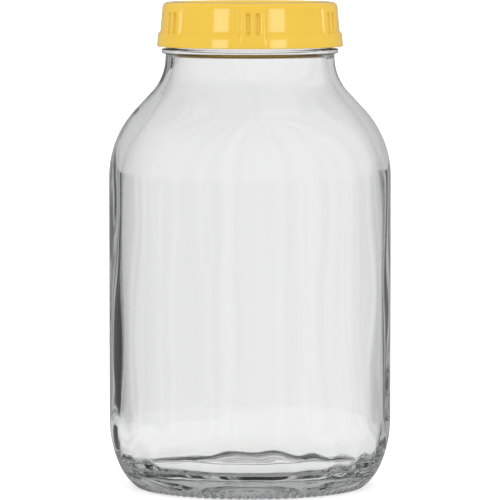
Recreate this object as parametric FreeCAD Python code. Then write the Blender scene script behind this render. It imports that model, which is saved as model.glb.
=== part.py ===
import FreeCAD, Part
import math
import os

# Twist-off jar: a wide-mouth preserving jar of about four litres in clear glass,
# closed with its screw lid in moulded plastic.
# Millimetres, +Z up, origin at the centre of the base on the resting plane.

# --- glass: outside ------------------------------------------------------
JAR_HEIGHT = 272.6          # resting plane to the sealing rim
BODY_DIAMETER = 160.0
HEEL_RADIUS = 65.4          # long sweep from the body wall down to the base
HEEL_TURN = 23.65           # degrees from the axis where the tighter sweep takes over
LOWER_HEEL_RADIUS = 30.5    # tighter sweep over the last stretch
LOWER_HEEL_TURN = 29.15     # further degrees that this sweep turns in
BASE_CORNER_RADIUS = 2.0
RESTING_RING_WIDTH = 4.5

NECK_STAND_OUT = 1.9        # neck below the transfer bead, beyond the mouth
NECK_RADIUS = 29.2          # hollow sweep from the neck into the shoulder
SHOULDER_SLOPE = 43.2       # degrees from the axis, on the straight part
SHOULDER_STRAIGHT = 12.9    # length of that straight part

FINISH_DIAMETER = 92.0      # the mouth inside the lid, thread roots
FINISH_HEIGHT = 24.7        # transfer bead to sealing rim
BEAD_STAND_OUT = 4.0        # transfer bead, beyond the mouth
BEAD_THICKNESS = 2.6
NECK_LAND = 1.2             # short upright length between bead and hollow sweep
RIM_ROUNDING = 1.2

# --- glass: inside -------------------------------------------------------
BODY_WALL = 4.0
FINISH_WALL = 3.6
BASE_THICKNESS = 6.5        # at the centre of the push-up
PUSH_UP_HEIGHT = 8.0
PUSH_UP_LIP = 1.6           # steep rise just inside the resting ring
PUSH_UP_RING_RADIUS = 30.0  # step left by the mould's centre plate
PUSH_UP_RING_DROP = 1.9     # how far that step lies below the push-up's centre
PUSH_UP_FLAT_RADIUS = 15.0
PUSH_UP_RING_STEP = 0.8
FLOOR_DOME_RADIUS = 280.0
FLOOR_CORNER_RADIUS = 17.0

# --- lid -----------------------------------------------------------------
LID_HEIGHT = 25.2
LID_PLATE = 1.8
LID_SEAL = 0.8              # ring under the plate that presses on the rim
LID_SEAL_WIDTH = 7.0
LID_WALL = 1.6
THREAD_ROOM = 2.0           # between mouth and lid skirt
LID_EDGE_RADIUS = 3.4
SKIRT_FLARE = 1.1           # panels lean out by this much down to the step
SKIRT_STEP = 1.4            # plain band below stands out this much from the panels
SKIRT_BAND_FLARE = 0.6
SKIRT_BAND_HEIGHT = 7.1
SKIRT_STEP_HEIGHT = 2.0

GRIP_COUNT = 6
GRIP_HALF_WIDTH = 6.1       # half the width of one grip pad
GRIP_RUN_OUT = 2.6          # slope from the pad's edge down to the panel
GRIP_EDGE_RADIUS = 4.6
GRIP_EDGE_SET_BACK = 0.35   # pad starts this far outside the panel's top edge
SLOT_WIDTH = 2.8
SLOT_SPACING = 5.5
SLOT_TOP_MARGIN = 5.4
LID_TURN = 1.9              # degrees, where the thread brings the lid to a stop

# --- derived -------------------------------------------------------------
body_r = BODY_DIAMETER / 2
finish_r = FINISH_DIAMETER / 2
neck_r = finish_r + NECK_STAND_OUT
bead_r = finish_r + BEAD_STAND_OUT
bead_z = JAR_HEIGHT - FINISH_HEIGHT - BEAD_THICKNESS / 2
neck_top_z = bead_z - BEAD_THICKNESS / 2 - NECK_LAND

slope = math.radians(SHOULDER_SLOPE)
turn_in = 1 - math.cos(slope)
shoulder_r = (body_r - neck_r - SHOULDER_STRAIGHT * math.sin(slope)) / turn_in - NECK_RADIUS
shoulder_z = neck_top_z - (shoulder_r + NECK_RADIUS) * math.sin(slope) - SHOULDER_STRAIGHT * math.cos(slope)

heel_turn = math.radians(HEEL_TURN)
lower_turn = heel_turn + math.radians(LOWER_HEEL_TURN)
heel_set_back = HEEL_RADIUS - LOWER_HEEL_RADIUS
lower_reach = heel_set_back * math.cos(heel_turn)
lower_drop = heel_set_back * math.sin(heel_turn)
ring_r = body_r - HEEL_RADIUS + lower_reach + (LOWER_HEEL_RADIUS - BASE_CORNER_RADIUS) * math.cos(lower_turn)
lower_rise = (LOWER_HEEL_RADIUS - BASE_CORNER_RADIUS) * math.sin(lower_turn)
heel_z = BASE_CORNER_RADIUS + lower_rise + lower_drop

lid_top_z = JAR_HEIGHT + LID_SEAL + LID_PLATE
lid_bottom_z = lid_top_z - LID_HEIGHT
panel_top_r = finish_r + THREAD_ROOM + LID_WALL
panel_low_r = panel_top_r + SKIRT_FLARE
band_top_r = panel_low_r + SKIRT_STEP
band_low_r = band_top_r + SKIRT_BAND_FLARE
band_z = lid_bottom_z + SKIRT_BAND_HEIGHT
step_z = band_z + SKIRT_STEP_HEIGHT
panel_top_z = lid_top_z - LID_EDGE_RADIUS


def at(r, z):
    """Point of a turned outline: distance from the axis, height."""
    return FreeCAD.Vector(r, 0, z)


def arc(centre, radius, start, end):
    """Arc of a turned outline; angles in radians, 0 outward, positive upward."""
    angles = (start, (start + end) / 2, end)
    points = [centre + at(radius * math.cos(a), radius * math.sin(a)) for a in angles]
    return Part.Arc(*points).toShape()


def joined(pieces):
    """Closed outline from points and arc edges, with straight lines between them."""
    edges = []
    first = last = None
    for piece in pieces:
        is_point = isinstance(piece, FreeCAD.Vector)
        ends = (piece, piece) if is_point else (piece.firstVertex().Point, piece.lastVertex().Point)
        if last is None:
            first = ends[0]
        elif last.distanceToPoint(ends[0]) > 1e-6:
            edges.append(Part.makeLine(last, ends[0]))
        if not is_point:
            edges.append(piece)
        last = ends[1]
    if last.distanceToPoint(first) > 1e-6:
        edges.append(Part.makeLine(last, first))
    return Part.Wire(edges)


def turned(pieces):
    """Solid of revolution about Z from an outline in the XZ plane."""
    face = Part.Face(joined(pieces))
    return face.revolve(FreeCAD.Vector(0, 0, 0), FreeCAD.Vector(0, 0, 1), 360)


def circles_meet(centre_a, radius_a, centre_b, radius_b):
    """The meeting point of two circles that lies further from the axis."""
    apart = centre_b - centre_a
    along = (apart.Length ** 2 + radius_a ** 2 - radius_b ** 2) / (2 * apart.Length)
    across = math.sqrt(radius_a ** 2 - along ** 2)
    unit = apart * (1 / apart.Length)
    side = at(unit.z, -unit.x)
    meetings = [centre_a + unit * along + side * s * across for s in (1, -1)]
    return max(meetings, key=lambda p: p.x)


def angle_of(point, centre):
    return math.atan2(point.z - centre.z, point.x - centre.x)


neck_centre = at(neck_r + NECK_RADIUS, neck_top_z)
shoulder_centre = at(body_r - shoulder_r, shoulder_z)
heel_centre = at(body_r - HEEL_RADIUS, heel_z)
lower_heel_centre = heel_centre + at(lower_reach, -lower_drop)


def jar_outside():
    """From the rim's outer edge down the outside to the centre of the base."""
    nose = BEAD_THICKNESS / 2
    nose_centre = at(bead_r - nose, bead_z)
    rim_centre = at(finish_r - RIM_ROUNDING, JAR_HEIGHT - RIM_ROUNDING)
    corner_centre = at(ring_r, BASE_CORNER_RADIUS)
    ring_inner_r = ring_r - RESTING_RING_WIDTH
    recess_r = ring_inner_r - PUSH_UP_LIP
    ring_z = PUSH_UP_HEIGHT - PUSH_UP_RING_DROP
    return [
        arc(rim_centre, RIM_ROUNDING, math.pi / 2, 0),
        at(finish_r, bead_z + nose),
        arc(nose_centre, nose, math.pi / 2, -math.pi / 2),
        at(neck_r, bead_z - nose),
        arc(neck_centre, NECK_RADIUS, math.pi, math.pi + slope),
        arc(shoulder_centre, shoulder_r, slope, 0),
        arc(heel_centre, HEEL_RADIUS, 0, -heel_turn),
        arc(lower_heel_centre, LOWER_HEEL_RADIUS, -heel_turn, -lower_turn),
        arc(corner_centre, BASE_CORNER_RADIUS, -lower_turn, -math.pi / 2),
        at(ring_inner_r, 0),
        at(recess_r, PUSH_UP_LIP),
        at(PUSH_UP_RING_RADIUS + PUSH_UP_RING_STEP, ring_z),
        at(PUSH_UP_RING_RADIUS, ring_z + PUSH_UP_RING_STEP),
        at(PUSH_UP_FLAT_RADIUS, PUSH_UP_HEIGHT),
        at(0, PUSH_UP_HEIGHT),
    ]


def jar_inside():
    """From the centre of the floor up the inside to the rim's inner edge."""
    floor_z = PUSH_UP_HEIGHT + BASE_THICKNESS
    inner_heel_radius = HEEL_RADIUS - BODY_WALL
    dome_centre = at(0, floor_z - FLOOR_DOME_RADIUS)
    corner_centre = circles_meet(
        dome_centre, FLOOR_DOME_RADIUS + FLOOR_CORNER_RADIUS,
        heel_centre, inner_heel_radius - FLOOR_CORNER_RADIUS)
    dome_angle = angle_of(corner_centre, dome_centre)
    heel_angle = angle_of(corner_centre, heel_centre)
    mouth_r = finish_r - FINISH_WALL
    rim_centre = at(mouth_r + RIM_ROUNDING, JAR_HEIGHT - RIM_ROUNDING)
    throat_r = neck_r - BODY_WALL
    throat_z = bead_z - BEAD_THICKNESS / 2
    return [
        arc(dome_centre, FLOOR_DOME_RADIUS, math.pi / 2, dome_angle),
        arc(corner_centre, FLOOR_CORNER_RADIUS, dome_angle - math.pi, heel_angle),
        arc(heel_centre, inner_heel_radius, heel_angle, 0),
        arc(shoulder_centre, shoulder_r - BODY_WALL, 0, slope),
        arc(neck_centre, NECK_RADIUS + BODY_WALL, math.pi + slope, math.pi),
        at(throat_r, throat_z),
        at(mouth_r, throat_z + BEAD_THICKNESS),
        arc(rim_centre, RIM_ROUNDING, math.pi, math.pi / 2),
    ]


def glass_jar():
    return turned(jar_outside() + jar_inside())


def lid_inside():
    """From the skirt's lower inner edge up to the centre of the plate's underside."""
    under_plate_z = lid_top_z - LID_PLATE
    seal_outer_r = panel_top_r - LID_WALL
    seal_inner_r = seal_outer_r - LID_SEAL_WIDTH
    return [
        at(band_low_r - LID_WALL, lid_bottom_z),
        at(band_top_r - LID_WALL, band_z - LID_WALL),
        at(panel_low_r - LID_WALL, step_z - LID_WALL),
        at(seal_outer_r, JAR_HEIGHT),
        at(seal_inner_r, JAR_HEIGHT),
        at(seal_inner_r, under_plate_z),
        at(0, under_plate_z),
    ]


def lid_outside():
    """From the centre of the top down over the grip pads to the skirt's lower edge."""
    edge_r = panel_top_r - LID_EDGE_RADIUS + GRIP_EDGE_SET_BACK
    edge_centre = at(edge_r, lid_top_z - GRIP_EDGE_RADIUS)
    return [
        at(0, lid_top_z),
        arc(edge_centre, GRIP_EDGE_RADIUS, math.pi / 2, 0),
        at(band_top_r, band_z),
        at(band_low_r, lid_bottom_z),
    ]


def panel_ring():
    """Everything outside the recessed panels, all the way round."""
    edge_centre = at(panel_top_r - LID_EDGE_RADIUS, panel_top_z)
    clear_r = band_low_r + LID_EDGE_RADIUS
    clear_z = lid_top_z + LID_EDGE_RADIUS
    return turned([
        at(edge_centre.x, clear_z),
        arc(edge_centre, LID_EDGE_RADIUS, math.pi / 2, 0),
        at(panel_low_r, step_z),
        at(band_top_r, band_z),
        at(clear_r, band_z),
        at(clear_r, clear_z),
    ])


def panel_wedge():
    """Plan of one panel, between two grip pads, with its sides sloping out."""
    half_pitch = math.pi / GRIP_COUNT
    pad_r = band_top_r
    pad_angle = half_pitch - math.asin(GRIP_HALF_WIDTH / pad_r)
    foot_angle = half_pitch - math.asin((GRIP_HALF_WIDTH + GRIP_RUN_OUT) / panel_top_r)
    foot = FreeCAD.Vector(panel_top_r * math.cos(foot_angle), panel_top_r * math.sin(foot_angle), 0)
    brow = FreeCAD.Vector(pad_r * math.cos(pad_angle), pad_r * math.sin(pad_angle), 0)
    side = foot + (brow - foot) * 2
    far = FreeCAD.Vector(pad_r * 2, side.y, 0)
    near = FreeCAD.Vector(panel_top_r / 2, 0, 0)
    one_side = [foot, side, far]
    other_side = [FreeCAD.Vector(p.x, -p.y, 0) for p in reversed(one_side)]
    corners = [near, *one_side, *other_side, near]
    wedge = Part.Face(Part.makePolygon(corners)).extrude(FreeCAD.Vector(0, 0, LID_HEIGHT * 2))
    wedge.translate(FreeCAD.Vector(0, 0, lid_bottom_z))
    return wedge


def slot():
    """One upright slot with round ends in a grip pad on the +X side, as deep as the panels."""
    half = SLOT_WIDTH / 2
    length = lid_top_z - SLOT_TOP_MARGIN - half - step_z
    reach = SKIRT_STEP * 3
    outward = FreeCAD.Vector(1, 0, 0)
    bar = Part.makeBox(reach, SLOT_WIDTH, length, FreeCAD.Vector(0, -half, 0))
    ends = [Part.makeCylinder(half, reach, at(0, z), outward) for z in (0, length)]
    groove = bar.fuse(ends).removeSplitter()
    lean = math.degrees(math.atan2(SKIRT_FLARE, panel_top_z - step_z))
    groove.rotate(FreeCAD.Vector(0, 0, 0), FreeCAD.Vector(0, 1, 0), -lean)
    groove.translate(at(panel_low_r, step_z))
    return groove


def turned_about(shape, degrees):
    copy = shape.copy()
    copy.rotate(FreeCAD.Vector(0, 0, 0), FreeCAD.Vector(0, 0, 1), degrees)
    return copy


def lid():
    shell = turned(lid_outside() + lid_inside())
    pitch = 360 / GRIP_COUNT
    panel = panel_ring().common(panel_wedge())
    slot_turn = math.degrees(math.asin(SLOT_SPACING / 2 / band_top_r))
    first = LID_TURN - 90
    cutters = []
    for index in range(GRIP_COUNT):
        grip = first + index * pitch
        cutters.append(turned_about(panel, grip + pitch / 2))
        cutters.append(turned_about(slot(), grip - slot_turn))
        cutters.append(turned_about(slot(), grip + slot_turn))
    return shell.cut(cutters)


def export(name, shape):
    solids = shape.Solids
    if len(solids) != 1 or not shape.isValid():
        raise RuntimeError(f"{name}: {len(solids)} solids, valid {shape.isValid()}")
    solids[0].exportStep(f"parts/{name}.step")
    print(f"{name}: {solids[0].Volume / 1000:.1f} cm3")


os.makedirs("parts", exist_ok=True)
export("glass_jar", glass_jar())
export("lid", lid())
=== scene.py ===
import math

import bpy
import numpy as np
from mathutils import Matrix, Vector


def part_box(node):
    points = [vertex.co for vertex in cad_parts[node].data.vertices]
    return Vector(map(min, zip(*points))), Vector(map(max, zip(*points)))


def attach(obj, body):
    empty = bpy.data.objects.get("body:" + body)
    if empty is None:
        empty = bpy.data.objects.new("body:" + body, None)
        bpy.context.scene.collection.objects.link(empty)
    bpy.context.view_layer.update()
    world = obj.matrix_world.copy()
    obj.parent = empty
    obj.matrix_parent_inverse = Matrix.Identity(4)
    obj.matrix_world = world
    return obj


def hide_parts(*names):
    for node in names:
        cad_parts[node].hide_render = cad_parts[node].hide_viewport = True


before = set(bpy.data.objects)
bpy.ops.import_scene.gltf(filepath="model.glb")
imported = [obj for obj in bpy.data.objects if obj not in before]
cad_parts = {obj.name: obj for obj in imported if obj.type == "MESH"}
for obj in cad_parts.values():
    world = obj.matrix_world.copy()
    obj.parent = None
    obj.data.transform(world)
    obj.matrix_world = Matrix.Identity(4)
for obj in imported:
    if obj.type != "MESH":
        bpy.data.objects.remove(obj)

# Twist-off jar: the clear glass jar and its yellow screw lid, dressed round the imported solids.
# Metres, +Z up, the jar's axis on Z and its base on z = 0. The camera looks along +Y.

MM = 0.001
TAU = 2 * math.pi
QUARTER = math.pi / 2
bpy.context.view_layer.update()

# --- sizes that the frame gives ------------------------------------------
jar_low, jar_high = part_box("glass_jar")
lid_low, lid_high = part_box("lid")
SKIN = 0.03 * MM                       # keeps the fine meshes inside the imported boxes
body_r = min(jar_high.x, jar_high.y, -jar_low.x, -jar_low.y) - SKIN
rim_z = jar_high.z
lid_top_z = lid_high.z
lid_bottom_z = lid_low.z
lid_r = min(lid_high.x, lid_high.y, -lid_low.x, -lid_low.y) - SKIN

# --- glass: the turned form ----------------------------------------------
HEEL_RADIUS = 65.4 * MM                # upper sweep of the heel, tangent to the body
LOWER_HEEL_RADIUS = 30.5 * MM
LOWER_HEEL_SLOPE = math.radians(52.8)  # where the lower sweep meets the base corner
BASE_CORNER_RADIUS = 2.0 * MM
HEEL_INSET = 16.2 * MM                 # resting ring's outer edge, in from the body
RESTING_RING_WIDTH = 4.5 * MM
NECK_R = 47.9 * MM
NECK_SWEEP = 29.2 * MM                 # radius of the hollow between neck and shoulder
SHOULDER_SLOPE = math.radians(43.2)
SHOULDER_STRAIGHT = 12.9 * MM
FINISH_R = 46.0 * MM                   # the part that the lid covers
FINISH_HEIGHT = 24.7 * MM
FINISH_WALL = 3.6 * MM
FINISH_FLARE = (0.4 * MM, 0.1 * MM)    # fillet above the bead: out from the finish, up
FINISH_FOOT = 0.6 * MM
BEAD_R = 50.0 * MM
BEAD_THICKNESS = 2.6 * MM
BEAD_LIFT = 0.9 * MM                   # above its place in the solid
BEAD_ROUNDING = 0.6 * MM
NECK_LAND = 1.2 * MM                   # straight neck below the bead
NECK_NICK = (0.1 * MM, 0.5 * MM)       # undercut below the bead: in, down
RIM_ROUNDING = 1.2 * MM
BODY_WALL = 4.0 * MM
FLOOR_Z = 14.5 * MM
FLOOR_DOME_RADIUS = 700.0 * MM
FLOOR_CORNER_RADIUS = 14.0 * MM
PUSH_UP_HEIGHT = 8.0 * MM
PUSH_UP_LIP = 1.6 * MM
PUSH_UP_LIP_INSET = 0.3 * MM
PUSH_UP_RING_R = 30.0 * MM
PUSH_UP_RING_DROP = 1.9 * MM
PUSH_UP_RING_STEP = 0.8 * MM

# --- glass: knurled base edge --------------------------------------------
KNURL_COUNT = 88
KNURL_TOP = 4.0 * MM
KNURL_FULL = 0.6                       # share of the height at full depth
KNURL_DEPTH = 0.8 * MM
KNURL_SHARPNESS = 4                    # higher makes narrower notches
KNURL_START = 1.0 * MM                 # fades in over this much of the resting ring
COLUMNS_PER_KNURL = 6

# --- glass: unevenness of the blown inside -------------------------------
THICK_SIDE = 1.7 * MM                  # extra wall, most towards -X
BROAD_WAVE = 0.2 * MM
STREAK_WAVE = 0.05 * MM
FOOT_WAVE = 0.12 * MM
WALL_FADE_IN = (4 * MM, 30 * MM)       # height above the floor
WALL_FADE_OUT = 40 * MM                # depth below the bead
FOOT_R = (36 * MM, 54 * MM)            # from none to full, outwards
FOOT_Z = (60 * MM, 25 * MM)            # from none to full, downwards
FLOOR_REACH = 3 * MM                   # the floor counts up to here above its middle
FLOOR_RING_RISE = 0.8 * MM             # ridge over the push-up's ring
FLOOR_RING_WIDTH = 1.5 * MM
DIMPLE_DEPTH = 1.2 * MM
DIMPLE_R = (24 * MM, 6 * MM)           # from none to full, inwards

# --- lid -----------------------------------------------------------------
LID_WALL = 1.6 * MM
LID_PLATE = 1.8 * MM
LID_EDGE_RADIUS = 3.4 * MM
DISC_R = 41.0 * MM                     # sunk middle of the top
DISC_DROP = 1.0 * MM
DISC_STEP = 0.6 * MM                   # half the width of its sloping edge
SEAL_WIDTH = 7.0 * MM                  # ring under the top that lies on the rim
PANEL_TOP_R = 49.6 * MM
SKIRT_FLARE = 1.1 * MM
SKIRT_STEP = 1.4 * MM
SKIRT_EDGE = 0.5 * MM
BAND_HEIGHT = 7.1 * MM
STEP_HEIGHT = 2.0 * MM
GRIP_COUNT = 6
GRIP_HALF_WIDTH = 6.1 * MM
GRIP_RUN_OUT = 2.8 * MM
GRIP_EDGE_RADIUS = 4.6 * MM
GRIP_SET_BACK = 0.35 * MM
SLOT_WIDTH = 2.8 * MM
SLOT_SPACING = 5.5 * MM
SLOT_TOP_MARGIN = 5.4 * MM
SLOT_SLOPE = (-0.4 * MM, 0.1 * MM)     # side wall of a slot, from its outline in and out
SLOT_LIP = 0.12 * MM                   # fine raised edge round each slot
SLOT_LIP_WIDTH = 0.3 * MM
LID_TURN = math.radians(1.9)           # of the front pad, from -Y towards +X
LID_COLUMNS = 1440

# --- fineness: distance between a mesh's rows ----------------------------
ARC_STEP = 2.0 * MM
STRAIGHT_STEP = 3.0 * MM
SWEEP_STEP = 1.2 * MM
FLOOR_STEP = 1.0 * MM
CORNER_STEP = 0.4 * MM
RIM_STEP = 0.35 * MM
BEAD_STEP = 0.15 * MM
LID_TOP_STEP = 10 * MM
SKIRT_ROW_STEP = 0.45 * MM
SKIRT_EDGE_STEP = 0.2 * MM

# --- materials -----------------------------------------------------------
WHITE = (1, 1, 1, 1)
GLASS_IOR = 1.52
GLASS_TINT = (0.50, 0.54, 0.53, 1)     # what thick glass takes the light towards
GLASS_DENSITY = 7.0                    # per metre
GLASS_WAVE_SCALE, GLASS_WAVE_DETAIL = 45, 2
GLASS_WAVE_SQUEEZE = (1, 1, 0.35)      # makes the waves taller than wide
GLASS_WAVE_STRENGTH, GLASS_WAVE_DEPTH = 0.03, 0.4 * MM
PLASTIC_IOR = 1.49
PLASTIC_ROUGHNESS = 0.1
YELLOWS = ((0.3, (0.91, 0.59, 0.066, 1)), (0.7, (0.95, 0.62, 0.074, 1)))
CLOUDING_SCALE, CLOUDING_DETAIL = 30, 3
GRAIN_SCALE, GRAIN_DETAIL = 1600, 2
GRAIN_STRENGTH, GRAIN_DEPTH = 0.06, 0.05 * MM

# --- camera --------------------------------------------------------------
CAMERA_DISTANCE = 2.562
CAMERA_HEIGHT = 0.3295
CAMERA_TILT = math.radians(4.356)
CAMERA_LENS = 325.7
CAMERA_SENSOR = 36
CAMERA_CLIP = (0.1, 30)

# --- studio: levels of light, where 1 is white ---------------------------
FILL_LEVEL = 1.06                      # on matt surfaces
GLOSS_LEVEL = 0.35                     # mirrored by polished surfaces
CLEAR_LEVEL = 0.95                     # seen straight through the glass
DARK_LEVEL = 0.015                     # darkest of the streaks and clouds
PALE_LEVEL = 0.55                      # brightest of the streaks
CLOUD_LEVEL = 0.45                     # brightest of the clouds
SKY_LEVEL = 0.9                        # even light round the sides, far paths
NEAR_SKY_LEVEL = 0.68                  # the same, near paths
SKY_TOP = (0.85, 0.50)                 # rise of a direction: streaks above, even light below
STREAK_SCALE, STREAK_EDGES = 11.0, (0.46, 0.60)
CLOUD_SCALE, CLOUD_EDGES = 2.5, (0.40, 0.62)
NOISE_DETAIL = 1.0
NOISE_HEIGHT = 0.5                     # where the patterns are cut from their noise
NONE = 0.5                             # a count below this is nought
NEAR_CROSSINGS = 3.5                   # near paths cross fewer glass surfaces than this
FLOOR_SIZE = 30
FLOOR_ALBEDO = 0.9
FLOOR_GLOW = 0.46                      # the floor's own light to the camera
FLOOR_FILL = 0.9                       # and to matt surfaces
UNDER_SHADOW_LEVEL = 0.92                     # painted shadow: share of the floor's light left under the jar, where the glass sees it
UNDER_SHADOW_FADE = (-2 * MM, 4 * MM)         # the painted shadow fades over this, from the resting ring's outer edge
STRIP_AZIMUTHS = (("strip_left", -37), ("strip_right", 35))
STRIP_DISTANCE = 1.2
STRIP_LOW = 0.03
STRIP_WIDTH, STRIP_TALL = 0.42, 0.5
STRIP_RADIANCE = 3.7
GLASS_BOUNCES, MIRROR_BOUNCES = 24, 16


# =========================================================================
# outlines: arrays of (distance from axis, height)
# =========================================================================
def at(r, z):
    """A single point, as an outline."""
    return np.array([[r, z]])


def arc(centre, radius, start, end, step=ARC_STEP):
    """Points of an arc; angles in radians, 0 outward, positive upward."""
    count = max(3, int(abs(end - start) * radius / step) + 2)
    angles = np.linspace(start, end, count)
    return np.array(centre) + radius * np.stack([np.cos(angles), np.sin(angles)], axis=1)


def line(start, end, step):
    """Points strictly between two ends, about a step apart."""
    start, end = np.array(start), np.array(end)
    count = max(1, int(np.linalg.norm(end - start) / step))
    shares = np.linspace(0, 1, count + 1)[1:-1, None]
    return start + shares * (end - start)


def chained(pieces, step=STRAIGHT_STEP):
    """One outline from pieces, with straight stretches filled in between them."""
    same = 1e-6                        # ends closer than this are one point
    out = [pieces[0]]
    for piece in pieces[1:]:
        gap = line(out[-1][-1], piece[0], step)
        if len(gap):
            out.append(gap)
        if np.linalg.norm(out[-1][-1] - piece[0]) < same:
            piece = piece[1:]
        out.append(piece)
    return np.concatenate(out)


def circles_meet(centre_a, radius_a, centre_b, radius_b):
    """The meeting point of two circles that lies further from the axis."""
    a, b = np.array(centre_a), np.array(centre_b)
    gap = np.linalg.norm(b - a)
    along = (gap ** 2 + radius_a ** 2 - radius_b ** 2) / (2 * gap)
    across = math.sqrt(radius_a ** 2 - along ** 2)
    unit = (b - a) / gap
    side = np.array([unit[1], -unit[0]])
    return max((a + unit * along + side * s * across for s in (1, -1)), key=lambda p: p[0])


def angle_of(point, centre):
    """Direction from a centre to a point, in arc()'s angles."""
    return math.atan2(point[1] - centre[1], point[0] - centre[0])


# =========================================================================
# the jar's profile
# =========================================================================
bead_z = rim_z - FINISH_HEIGHT - BEAD_THICKNESS / 2 + BEAD_LIFT
neck_top_z = bead_z - BEAD_LIFT - BEAD_THICKNESS / 2 - NECK_LAND

# the neck's hollow sweep, a straight slope and the shoulder's sweep run on smoothly
turn_in = 1 - math.cos(SHOULDER_SLOPE)
slope_in = SHOULDER_STRAIGHT * math.sin(SHOULDER_SLOPE)
slope_down = SHOULDER_STRAIGHT * math.cos(SHOULDER_SLOPE)
shoulder_radius = (body_r - NECK_R - slope_in) / turn_in - NECK_SWEEP
sweeps_down = (shoulder_radius + NECK_SWEEP) * math.sin(SHOULDER_SLOPE)
neck_centre = (NECK_R + NECK_SWEEP, neck_top_z)
shoulder_centre = (body_r - shoulder_radius, neck_top_z - sweeps_down - slope_down)

# the heel's two sweeps and the base corner also touch end to end
ring_r = body_r - HEEL_INSET
ring_inner_r = ring_r - RESTING_RING_WIDTH
set_back = HEEL_RADIUS - LOWER_HEEL_RADIUS
lower_inset = (LOWER_HEEL_RADIUS - BASE_CORNER_RADIUS) * math.cos(LOWER_HEEL_SLOPE)
heel_turn = math.acos((HEEL_RADIUS - HEEL_INSET - lower_inset) / set_back)
heel_z = (HEEL_RADIUS * math.sin(heel_turn)
          + LOWER_HEEL_RADIUS * (math.sin(LOWER_HEEL_SLOPE) - math.sin(heel_turn))
          + BASE_CORNER_RADIUS * (1 - math.sin(LOWER_HEEL_SLOPE)))
heel_centre = (body_r - HEEL_RADIUS, heel_z)
lower_heel_centre = (heel_centre[0] + set_back * math.cos(heel_turn),
                     heel_z - set_back * math.sin(heel_turn))


def push_up():
    """The base's underside, from the axis to the resting ring, with the mould's centre ring."""
    step_z = PUSH_UP_HEIGHT - PUSH_UP_RING_DROP
    return [
        at(0, PUSH_UP_HEIGHT),
        at(PUSH_UP_RING_R / 2, PUSH_UP_HEIGHT),
        at(PUSH_UP_RING_R, step_z + PUSH_UP_RING_STEP),
        at(PUSH_UP_RING_R + PUSH_UP_RING_STEP / 2, step_z + PUSH_UP_RING_STEP / 3),
        at(PUSH_UP_RING_R + PUSH_UP_RING_STEP, step_z),
        at(ring_inner_r - PUSH_UP_LIP, PUSH_UP_LIP),
        arc((ring_inner_r + PUSH_UP_LIP_INSET, PUSH_UP_LIP), PUSH_UP_LIP,
            -math.pi, -QUARTER, CORNER_STEP),
    ]


def bead():
    """The transfer bead, a flat face between two small arcs, and the fillet above it."""
    nose = BEAD_THICKNESS / 2
    edge_r = BEAD_R - BEAD_ROUNDING
    flare_out, flare_up = FINISH_FLARE
    nick_in, nick_down = NECK_NICK
    return [
        at(NECK_R - nick_in, bead_z - nose - nick_down),
        arc((edge_r, bead_z - nose + BEAD_ROUNDING), BEAD_ROUNDING, -QUARTER, 0, BEAD_STEP),
        arc((edge_r, bead_z + nose - BEAD_ROUNDING), BEAD_ROUNDING, 0, QUARTER, BEAD_STEP),
        at(FINISH_R + flare_out, bead_z + nose + flare_up),
        at(FINISH_R, bead_z + nose + FINISH_FOOT),
    ]


def jar_outside():
    """From the centre of the base, up the outside, to the rim's outer edge."""
    corner_centre = (ring_r, BASE_CORNER_RADIUS)
    rim_centre = (FINISH_R - RIM_ROUNDING, rim_z - RIM_ROUNDING)
    return chained([
        *push_up(),
        arc(corner_centre, BASE_CORNER_RADIUS, -QUARTER, -LOWER_HEEL_SLOPE, CORNER_STEP),
        arc(lower_heel_centre, LOWER_HEEL_RADIUS, -LOWER_HEEL_SLOPE, -heel_turn, SWEEP_STEP),
        arc(heel_centre, HEEL_RADIUS, -heel_turn, 0),
        arc(shoulder_centre, shoulder_radius, 0, SHOULDER_SLOPE),
        arc(neck_centre, NECK_SWEEP, math.pi + SHOULDER_SLOPE, math.pi, SWEEP_STEP),
        *bead(),
        arc(rim_centre, RIM_ROUNDING, 0, QUARTER, RIM_STEP),
    ])


def jar_inside():
    """From the rim's inner edge, down the inside, to the centre of the floor."""
    inner_heel = HEEL_RADIUS - BODY_WALL
    dome_centre = (0, FLOOR_Z - FLOOR_DOME_RADIUS)
    corner_centre = circles_meet(dome_centre, FLOOR_DOME_RADIUS + FLOOR_CORNER_RADIUS,
                                 heel_centre, inner_heel - FLOOR_CORNER_RADIUS)
    dome_angle = angle_of(corner_centre, dome_centre)
    heel_angle = angle_of(corner_centre, heel_centre)
    rim_centre = (FINISH_R - FINISH_WALL + RIM_ROUNDING, rim_z - RIM_ROUNDING)
    return chained([
        arc(rim_centre, RIM_ROUNDING, QUARTER, math.pi, RIM_STEP),
        at(NECK_R - BODY_WALL, bead_z - BEAD_THICKNESS / 2),
        arc(neck_centre, NECK_SWEEP + BODY_WALL, math.pi, math.pi + SHOULDER_SLOPE),
        arc(shoulder_centre, shoulder_radius - BODY_WALL, SHOULDER_SLOPE, 0),
        arc(heel_centre, inner_heel, 0, heel_angle),
        arc(corner_centre, FLOOR_CORNER_RADIUS, heel_angle, dome_angle - math.pi),
        arc(dome_centre, FLOOR_DOME_RADIUS, dome_angle, QUARTER, FLOOR_STEP),
    ])


# =========================================================================
# turned meshes
# =========================================================================
def link(piece):
    bpy.context.scene.collection.objects.link(piece)
    return piece


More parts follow.
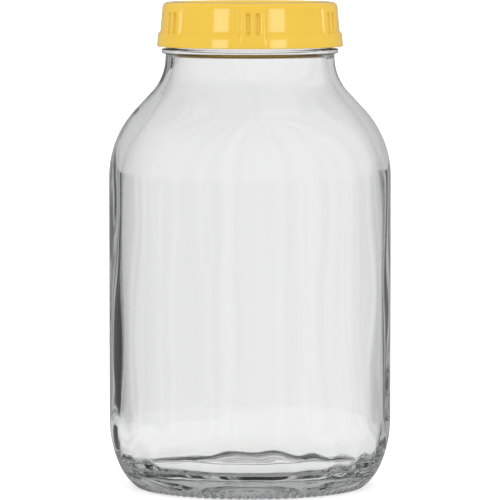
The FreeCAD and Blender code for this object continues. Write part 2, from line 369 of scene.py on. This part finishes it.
def turned(name, outline, columns, shape):
    """Closed mesh of revolution; both ends of the outline lie on the axis.

    shape(r, z, angle) gets every ring's points as grids, a row for each ring, and
    returns their moved r and z.
    """
    angles = np.arange(columns) * TAU / columns
    r, z = shape(*np.broadcast_arrays(outline[1:-1, :1], outline[1:-1, 1:], angles))
    rings = np.stack([r * np.cos(angles), r * np.sin(angles), z], axis=2).reshape(-1, 3)
    poles = [[0, 0, z[row].mean()] for row in (0, -1)]

    here = np.arange(columns)
    there = (here + 1) % columns
    last_row = (len(r) - 1) * columns
    below = np.arange(0, last_row, columns)[:, None]
    quads = np.stack([below + here, below + there,
                      below + there + columns, below + here + columns], axis=2).reshape(-1, 4)
    first_pole = np.full(columns, len(rings))
    fans = (np.stack([first_pole, there, here], axis=1),
            np.stack([first_pole + 1, last_row + here, last_row + there], axis=1))
    faces = [face for block in (quads, *fans) for face in block.tolist()]

    mesh = bpy.data.meshes.new(name)
    mesh.from_pydata(rings.tolist() + poles, [], faces)
    mesh.update()
    mesh.shade_smooth()
    return link(bpy.data.objects.new(name, mesh))


def blend_in(low, high, value):
    """Smooth step from 0 at low to 1 at high."""
    share = np.clip((value - low) / (high - low), 0, 1)
    return share * share * (3 - 2 * share)


# =========================================================================
# jar
# =========================================================================
def ripple(seed, waves, around, tall):
    """Smooth seeded unevenness of about unit size over angle and height.

    around is the range of waves round the jar, tall the range of wave heights.
    """
    draw = np.random.default_rng(seed)
    turns = draw.integers(around[0], around[1] + 1, waves)
    heights = draw.uniform(tall[0], tall[1], waves) * draw.choice([-1, 1], waves)
    phases = draw.uniform(0, TAU, waves)
    sizes = draw.uniform(0.5, 1.0, waves)
    sizes /= math.sqrt(np.sum(sizes ** 2) / 2)

    def field(angle, height):
        total = np.zeros_like(angle)
        for turn, tallness, phase, size in zip(turns, heights, phases, sizes):
            total += size * np.cos(turn * angle + TAU * height / tallness + phase)
        return total
    return field


broad_ripple = ripple(seed=11, waves=7, around=(1, 5), tall=(120 * MM, 300 * MM))
streak_ripple = ripple(seed=23, waves=10, around=(6, 22), tall=(60 * MM, 260 * MM))
foot_ripple = ripple(seed=5, waves=12, around=(5, 26), tall=(25 * MM, 70 * MM))


def knurling(r, z, angle):
    """Depth of the notches round the base edge."""
    notches = (0.5 + 0.5 * np.cos(KNURL_COUNT * angle)) ** KNURL_SHARPNESS
    edge = (blend_in(KNURL_TOP, KNURL_TOP * KNURL_FULL, z)
            * blend_in(ring_inner_r, ring_inner_r + KNURL_START, r))
    return KNURL_DEPTH * edge * notches


def extra_glass(r, z, angle):
    """How far the inner surface stands off the turned form, positive for thicker glass."""
    fade_low, fade_high = (FLOOR_Z + rise for rise in WALL_FADE_IN)
    wall = blend_in(fade_low, fade_high, z) * blend_in(bead_z, bead_z - WALL_FADE_OUT, z)
    uneven = (THICK_SIDE * ((1 - np.cos(angle)) / 2) ** 2
              + BROAD_WAVE * broad_ripple(angle, z)
              + STREAK_WAVE * streak_ripple(angle, z))
    foot = blend_in(*FOOT_R, r) * blend_in(*FOOT_Z, z)
    ridge = FLOOR_RING_RISE * np.exp(-((r - PUSH_UP_RING_R) / FLOOR_RING_WIDTH) ** 2)
    dimple = DIMPLE_DEPTH * blend_in(*DIMPLE_R, r)
    on_floor = z < FLOOR_Z + FLOOR_REACH
    return (uneven * wall + FOOT_WAVE * foot_ripple(angle, z - r) * foot
            + (ridge - dimple) * on_floor)


def make_jar():
    outside, inside = jar_outside(), jar_inside()
    outline = np.concatenate([outside, inside])
    along = np.gradient(outline, axis=0)[1:-1]
    # on both walls this normal points out of the glass
    normal = np.stack([along[:, 1], -along[:, 0]], axis=1)
    normal /= np.linalg.norm(normal, axis=1)[:, None]

    def blown(r, z, angle):
        is_outside = np.arange(len(r))[:, None] < len(outside) - 1
        shift = np.where(is_outside, -knurling(r, z, angle), extra_glass(r, z, angle))
        return r + shift * normal[:, :1], z + shift * normal[:, 1:]

    return turned("jar_glass", outline, KNURL_COUNT * COLUMNS_PER_KNURL, blown)


# =========================================================================
# lid
# =========================================================================
panel_low_r = PANEL_TOP_R + SKIRT_FLARE
band_top_r = panel_low_r + SKIRT_STEP
band_z = lid_bottom_z + BAND_HEIGHT
step_z = band_z + STEP_HEIGHT
panel_top_z = lid_top_z - LID_EDGE_RADIUS


def edge_r(z, edge, radius):
    """Radius of a rounded top edge that ends at edge, for heights above its start."""
    rise = np.clip(z - (lid_top_z - radius), 0, radius)
    return edge - radius + np.sqrt(np.maximum(radius ** 2 - rise ** 2, 0))


def drafted_r(z, foot_z, foot_r, edge, radius):
    """Radius of a leaning wall from its foot up to a rounded top edge."""
    top_z = lid_top_z - radius
    share = np.clip((z - foot_z) / (top_z - foot_z), 0, 1)
    return np.where(z > top_z, edge_r(z, edge, radius), foot_r + share * (edge - foot_r))


def panel_r(z):
    """Radius of the recessed panels between the pads."""
    return drafted_r(z, step_z, panel_low_r, PANEL_TOP_R, LID_EDGE_RADIUS)


def pad_r(z):
    """Radius of the raised grip pads."""
    edge = PANEL_TOP_R - LID_EDGE_RADIUS + GRIP_SET_BACK + GRIP_EDGE_RADIUS
    return drafted_r(z, band_z, band_top_r, edge, GRIP_EDGE_RADIUS)


def lid_relief(z, angle):
    """How far the skirt stands out from the panels at each point."""
    pitch = TAU / GRIP_COUNT
    front = LID_TURN - QUARTER
    across = ((angle - front + pitch / 2) % pitch - pitch / 2) * band_top_r
    pad = 1 - blend_in(GRIP_HALF_WIDTH, GRIP_HALF_WIDTH + GRIP_RUN_OUT, np.abs(across))
    half = SLOT_WIDTH / 2
    low, high = step_z, lid_top_z - SLOT_TOP_MARGIN - half
    slot_off = np.hypot(np.abs(across) - SLOT_SPACING / 2, z - np.clip(z, low, high)) - half
    slot = 1 - blend_in(*SLOT_SLOPE, slot_off)
    lip = SLOT_LIP * np.exp(-((slot_off - SLOT_LIP_WIDTH) / SLOT_LIP_WIDTH) ** 2)
    on_band = 1 - blend_in(band_z, step_z, z)
    step = (band_top_r - panel_low_r) * on_band * (1 - pad)
    return np.maximum((pad_r(z) - panel_r(z)) * pad * (1 - slot), step) + lip


def lid_outline():
    """From the top's centre, down the outside, to the underside's centre.

    Also the first and the last row of the gripped skirt.
    """
    under_z = lid_top_z - LID_PLATE
    seal_outer = PANEL_TOP_R - LID_WALL
    seal_inner = seal_outer - SEAL_WIDTH
    disc_edge = [at(DISC_R + side * DISC_STEP, lid_top_z - sunk * DISC_DROP)
                 for side, sunk in ((-1, 1), (-0.5, 0.85), (0.5, 0.15), (1, 0))]
    top_edge = arc((PANEL_TOP_R - LID_EDGE_RADIUS, panel_top_z), LID_EDGE_RADIUS,
                   QUARTER, 0, RIM_STEP)
    top = chained([at(0, lid_top_z - DISC_DROP), *disc_edge, top_edge], LID_TOP_STEP)
    skirt = chained([top[-1:], at(panel_low_r, step_z), at(band_top_r, band_z)], SKIRT_ROW_STEP)
    skirt_edge_centre = (lid_r - SKIRT_EDGE, lid_bottom_z + SKIRT_EDGE)
    rest = chained([
        skirt[-1:],
        arc(skirt_edge_centre, SKIRT_EDGE, 0, -QUARTER, SKIRT_EDGE_STEP),
        at(lid_r - LID_WALL, lid_bottom_z),
        at(band_top_r - LID_WALL, band_z - LID_WALL),
        at(panel_low_r - LID_WALL, step_z - LID_WALL),
        at(seal_outer, rim_z),
        at(seal_inner, rim_z),
        at(seal_inner, under_z),
        at(0, under_z),
    ])
    first = len(top) - len(top_edge) + 1
    last = len(top) + len(skirt) - 2
    return np.concatenate([top, skirt[1:], rest[1:]]), first, last


def make_lid():
    outline, first, last = lid_outline()
    gripped = slice(first - 1, last)   # the axis point isn't a ring

    def moulded(r, z, angle):
        r = r.copy()
        r[gripped] = panel_r(z[gripped]) + lid_relief(z[gripped], angle[gripped])
        return r, z

    return turned("lid_plastic", outline, LID_COLUMNS, moulded)


# =========================================================================
# materials
# =========================================================================
class Nodes:
    """Shorthand for building a node tree."""

    def __init__(self, tree):
        self.nodes, self.links = tree.nodes, tree.links
        self.nodes.clear()

    def add(self, kind, **inputs):
        """A node with its inputs set or linked; _ stands for a space in an input's name."""
        node = self.nodes.new(kind)
        for name, value in inputs.items():
            self.put(value, node.inputs[name.replace("_", " ")])
        return node

    def put(self, value, socket):
        if isinstance(value, bpy.types.NodeSocket):
            self.links.new(value, socket)
        else:
            socket.default_value = value

    def maths(self, operation, *values):
        node = self.nodes.new("ShaderNodeMath")
        node.operation = operation
        for value, socket in zip(values, node.inputs):
            self.put(value, socket)
        return node.outputs[0]

    def ramp(self, value, low, high, start=0.0, end=1.0):
        """Smooth step of value from start at low to end at high."""
        node = self.nodes.new("ShaderNodeMapRange")
        node.interpolation_type = "SMOOTHSTEP"
        for name, number in zip(("Value", "From Min", "From Max", "To Min", "To Max"),
                                (value, low, high, start, end)):
            self.put(number, node.inputs[name])
        return node.outputs["Result"]

    def pick(self, factor, when_off, when_on):
        """when_off where factor is 0, when_on where it is 1."""
        node = self.nodes.new("ShaderNodeMix")
        node.data_type = "FLOAT"
        for name, value in (("Factor", factor), ("A", when_off), ("B", when_on)):
            self.put(value, node.inputs[name])
        return node.outputs["Result"]

    def vector(self, operation, value, output):
        node = self.add("ShaderNodeVectorMath", Vector=value)
        node.operation = operation
        return node.outputs[output]

    def noise(self, place, scale, detail):
        node = self.add("ShaderNodeTexNoise", Vector=place, Scale=scale, Detail=detail)
        return node.outputs["Fac"]

    def bump(self, height, strength, depth):
        node = self.add("ShaderNodeBump", Height=height, Strength=strength, Distance=depth)
        return node.outputs["Normal"]


def new_material(name):
    material = bpy.data.materials.new(name)
    material.use_nodes = True
    return material, Nodes(material.node_tree)


def glass_material():
    """Clear glass with slight upright waves, grey where it is thick."""
    material, tree = new_material("clear_glass")
    place = tree.add("ShaderNodeTexCoord").outputs["Object"]
    squeezed = tree.add("ShaderNodeMapping", Vector=place, Scale=GLASS_WAVE_SQUEEZE)
    waves = tree.bump(tree.noise(squeezed.outputs["Vector"], GLASS_WAVE_SCALE, GLASS_WAVE_DETAIL),
                      GLASS_WAVE_STRENGTH, GLASS_WAVE_DEPTH)
    shader = tree.add("ShaderNodeBsdfPrincipled", Base_Color=WHITE, Roughness=0.0, IOR=GLASS_IOR,
                      Transmission_Weight=1.0, Normal=waves)
    dim = tree.add("ShaderNodeVolumeAbsorption", Color=GLASS_TINT, Density=GLASS_DENSITY)
    tree.add("ShaderNodeOutputMaterial", Surface=shader.outputs["BSDF"],
             Volume=dim.outputs["Volume"])
    return material


def lid_material():
    """Glossy moulded plastic, its yellow faintly clouded, with a fine grain."""
    material, tree = new_material("yellow_plastic")
    place = tree.add("ShaderNodeTexCoord").outputs["Object"]
    clouding = tree.noise(place, CLOUDING_SCALE, CLOUDING_DETAIL)
    tint = tree.add("ShaderNodeValToRGB", Fac=clouding)
    for stop, (position, colour) in zip(tint.color_ramp.elements, YELLOWS):
        stop.position, stop.color = position, colour
    grain = tree.bump(tree.noise(place, GRAIN_SCALE, GRAIN_DETAIL), GRAIN_STRENGTH, GRAIN_DEPTH)
    shader = tree.add("ShaderNodeBsdfPrincipled", Base_Color=tint.outputs["Color"],
                      Roughness=PLASTIC_ROUGHNESS, IOR=PLASTIC_IOR, Normal=grain)
    tree.add("ShaderNodeOutputMaterial", Surface=shader.outputs["BSDF"])
    return material


# =========================================================================
# pieces
# =========================================================================
jar = make_jar()
jar.data.materials.append(glass_material())
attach(jar, "root")
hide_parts("glass_jar")

lid = make_lid()
lid.data.materials.append(lid_material())
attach(lid, "root")
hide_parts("lid")


# =========================================================================
# studio
# =========================================================================
def room(tree, direction, sky):
    """Level of light from a direction, by what happened to the ray on its way.

    Straight through the glass it is clear. Rays that were also reflected inside the
    glass meet dark and pale streaks round the jar: fine ones on near paths, broad
    clouds on those that crossed the jar. Where the sky isn't overhead they meet an
    even level instead. Reflections and matt surfaces have a level each. sky is 1 for
    the world and 0 for the floor. Also returns the Light Path node.
    """
    path = tree.add("ShaderNodeLightPath")
    straight = tree.maths("LESS_THAN", path.outputs["Glossy Depth"], NONE)
    near = tree.maths("LESS_THAN", path.outputs["Transmission Depth"], NEAR_CROSSINGS)

    parts = tree.add("ShaderNodeSeparateXYZ", Vector=direction)
    angle = tree.maths("ARCTAN2", parts.outputs["X"], parts.outputs["Y"])
    around = tree.add("ShaderNodeCombineXYZ", X=tree.maths("COSINE", angle),
                      Y=tree.maths("SINE", angle), Z=NOISE_HEIGHT).outputs["Vector"]
    fine, broad = (tree.ramp(tree.noise(around, scale, NOISE_DETAIL), *edges, DARK_LEVEL, brightest)
                   for scale, edges, brightest in ((STREAK_SCALE, STREAK_EDGES, PALE_LEVEL),
                                                   (CLOUD_SCALE, CLOUD_EDGES, CLOUD_LEVEL)))
    streaks = tree.pick(near, broad, fine)

    unit = tree.vector("NORMALIZE", direction, "Vector")
    height = tree.add("ShaderNodeSeparateXYZ", Vector=unit).outputs["Z"]
    even = tree.maths("MULTIPLY", sky, tree.ramp(height, *SKY_TOP))
    reflected = tree.pick(even, streaks, tree.pick(near, SKY_LEVEL, NEAR_SKY_LEVEL))

    through = tree.pick(straight, reflected, CLEAR_LEVEL)
    mirrored = tree.pick(path.outputs["Is Glossy Ray"], FILL_LEVEL, GLOSS_LEVEL)
    return tree.pick(path.outputs["Is Transmission Ray"], mirrored, through), path


def floor_material():
    """Pale floor that keeps the shadow and shows the glass the streaks of the room, with a painted
    shadow under the jar.
    """
    material, tree = new_material("pale_floor")
    place = tree.add("ShaderNodeNewGeometry").outputs["Position"]
    level, path = room(tree, place, 0.0)
    to_camera = path.outputs["Is Camera Ray"]

    reach = tree.vector("LENGTH", place, "Value")
    # painted shadow: the floor's light that the glass sees is dimmed under the jar
    shadow_from, shadow_to = (ring_r + offset for offset in UNDER_SHADOW_FADE)
    through_glass = tree.maths("MULTIPLY", level,
                               tree.ramp(reach, shadow_from, shadow_to, UNDER_SHADOW_LEVEL, 1.0))
    mirrored = tree.pick(path.outputs["Is Glossy Ray"], FLOOR_FILL, GLOSS_LEVEL)
    plain = tree.pick(to_camera, mirrored, FLOOR_GLOW)
    strength = tree.pick(path.outputs["Is Transmission Ray"], plain, through_glass)
    glow = tree.add("ShaderNodeEmission", Color=WHITE, Strength=strength)

    # only the camera sees the matt part, with the jar's shadow on it
    albedo = tree.maths("MULTIPLY", to_camera, FLOOR_ALBEDO)
    grey = tree.add("ShaderNodeCombineColor", Red=albedo, Green=albedo, Blue=albedo)
    matt = tree.add("ShaderNodeBsdfDiffuse", Color=grey.outputs["Color"])
    both = tree.nodes.new("ShaderNodeAddShader")
    tree.put(matt.outputs["BSDF"], both.inputs[0])
    tree.put(glow.outputs["Emission"], both.inputs[1])
    tree.add("ShaderNodeOutputMaterial", Surface=both.outputs["Shader"])
    return material


def make_floor():
    half = FLOOR_SIZE / 2
    mesh = bpy.data.meshes.new("floor")
    corners = [(-half, -half, 0), (half, -half, 0), (half, half, 0), (-half, half, 0)]
    mesh.from_pydata(corners, [], [(0, 1, 2, 3)])
    mesh.materials.append(floor_material())
    floor = link(bpy.data.objects.new("floor", mesh))


def make_world():
    """White to the camera, and the room to all else."""
    world = bpy.data.worlds.new("studio")
    bpy.context.scene.world = world
    world.use_nodes = True
    tree = Nodes(world.node_tree)
    level, path = room(tree, tree.add("ShaderNodeTexCoord").outputs["Generated"], 1.0)
    level = tree.maths("MAXIMUM", level, path.outputs["Is Camera Ray"])
    back = tree.add("ShaderNodeBackground", Color=WHITE, Strength=level)
    tree.add("ShaderNodeOutputWorld", Surface=back.outputs["Background"])


def make_camera():
    data = bpy.data.cameras.new("camera")
    data.lens = CAMERA_LENS
    data.sensor_width = CAMERA_SENSOR
    data.clip_start, data.clip_end = CAMERA_CLIP
    camera = link(bpy.data.objects.new("camera", data))
    camera.location = (0, -CAMERA_DISTANCE, CAMERA_HEIGHT)
    camera.rotation_euler = (QUARTER - CAMERA_TILT, 0, 0)
    bpy.context.scene.camera = camera


def make_strip(name, azimuth, shines_on):
    """Upright strip light that shows only as a reflection on the given collection.

    azimuth is in degrees from the camera's side, positive to the right.
    """
    data = bpy.data.lights.new(name, "AREA")
    data.shape = "RECTANGLE"
    data.size, data.size_y = STRIP_WIDTH, STRIP_TALL
    data.energy = STRIP_RADIANCE * math.pi * STRIP_WIDTH * STRIP_TALL
    lamp = link(bpy.data.objects.new(name, data))
    turn = math.radians(azimuth)
    lamp.location = (STRIP_DISTANCE * math.sin(turn), -STRIP_DISTANCE * math.cos(turn),
                     STRIP_LOW + STRIP_TALL / 2)
    lamp.rotation_euler = (QUARTER, 0, turn)
    lamp.visible_camera = False
    lamp.visible_transmission = False
    lamp.visible_diffuse = False
    lamp.light_linking.receiver_collection = shines_on


make_floor()
make_world()
make_camera()
lid_only = bpy.data.collections.new("lid_only")
lid_only.objects.link(lid)
for strip_name, strip_azimuth in STRIP_AZIMUTHS:
    make_strip(strip_name, strip_azimuth, lid_only)

scene = bpy.context.scene
scene.view_settings.view_transform = "Standard"
scene.cycles.max_bounces = GLASS_BOUNCES
scene.cycles.transmission_bounces = GLASS_BOUNCES
scene.cycles.glossy_bounces = MIRROR_BOUNCES
